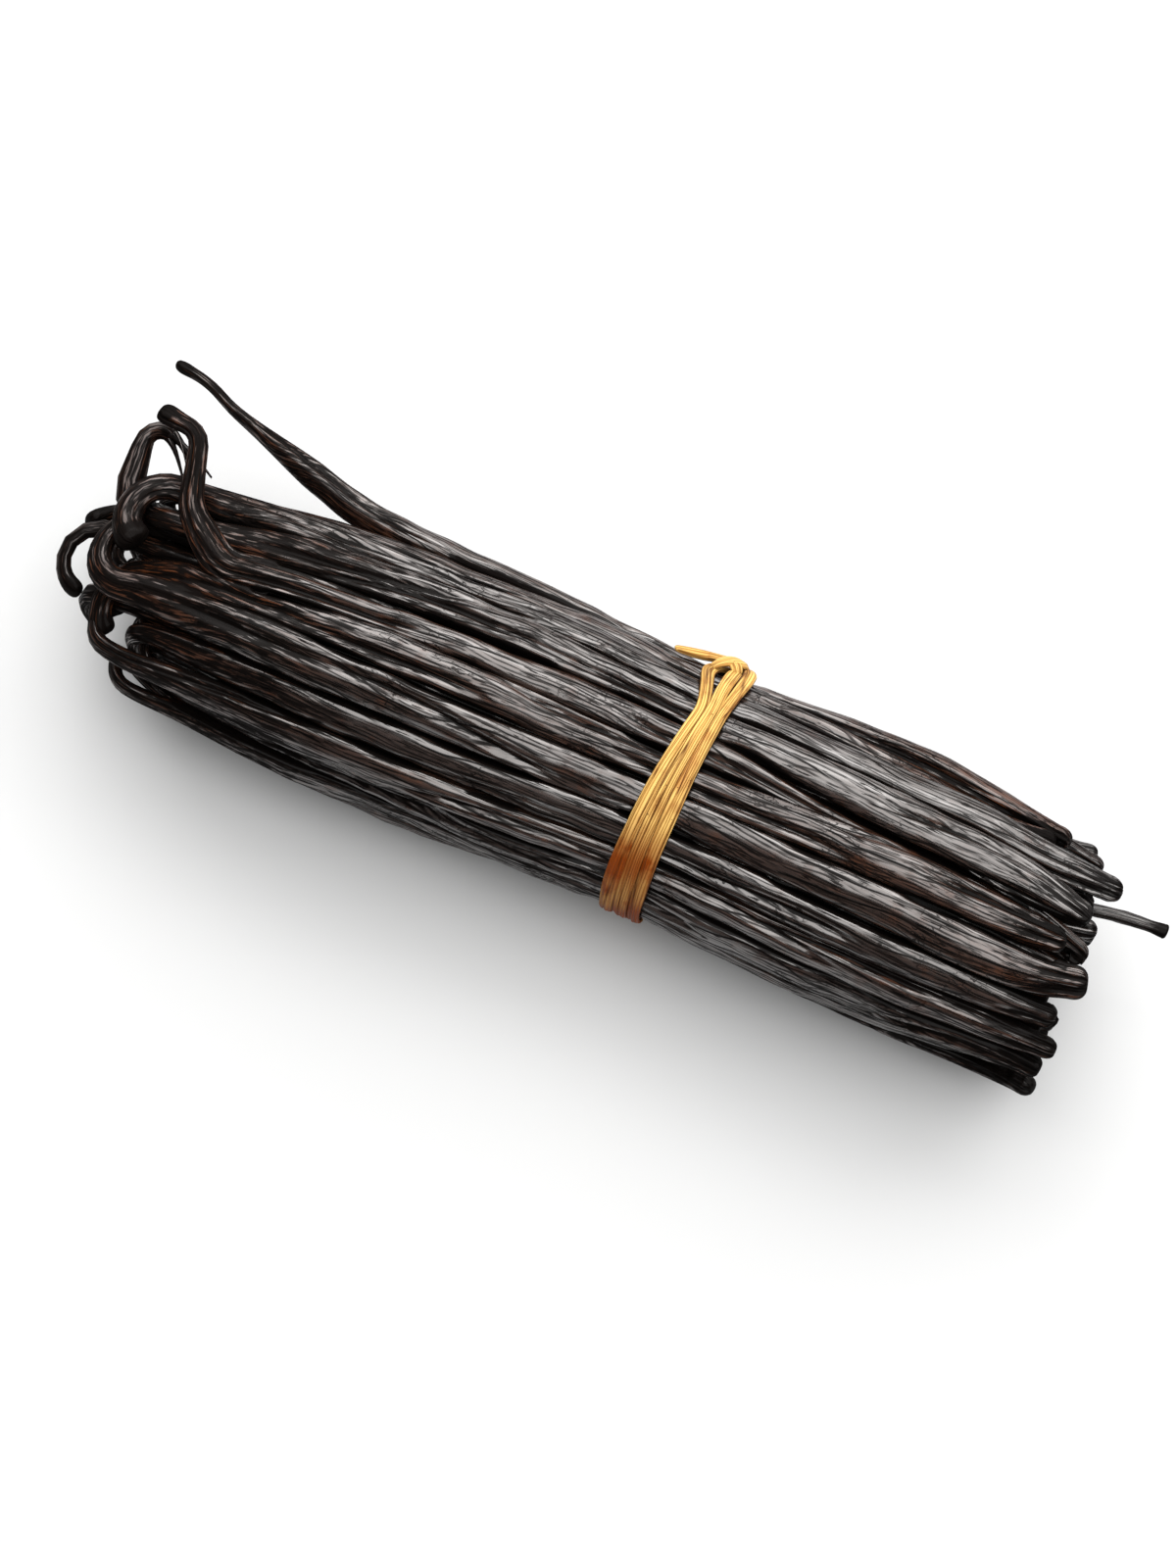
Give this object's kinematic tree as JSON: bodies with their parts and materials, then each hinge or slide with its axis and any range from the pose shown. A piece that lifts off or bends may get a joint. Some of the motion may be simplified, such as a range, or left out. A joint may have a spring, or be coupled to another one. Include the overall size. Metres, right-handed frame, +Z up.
{
  "type": "bundle of vanilla pods",
  "caption": "Slim bundle of cured vanilla pods, hooked stem ends together at one end, blunt tips at the other, tied near the middle with a flat raffia band and a small knot.",
  "frame": {"origin": "on the surface the bundle lies on, under the middle of its box", "axes": "+X along the pods towards their blossom ends, +Y across the bundle, +Z up"},
  "size_m": [0.1744, 0.046, 0.0398],
  "materials": {
    "pod_skin": "nearly black brown, oily and finely wrinkled along the pod, redder at the stems",
    "raffia": "dry ochre palm fibre with fine lengthwise grain and darker stains"
  },
  "bodies": {
    "root": {"pod_bundle": "pod_skin", "raffia_tie": "raffia"}
  },
  "joints": []
}
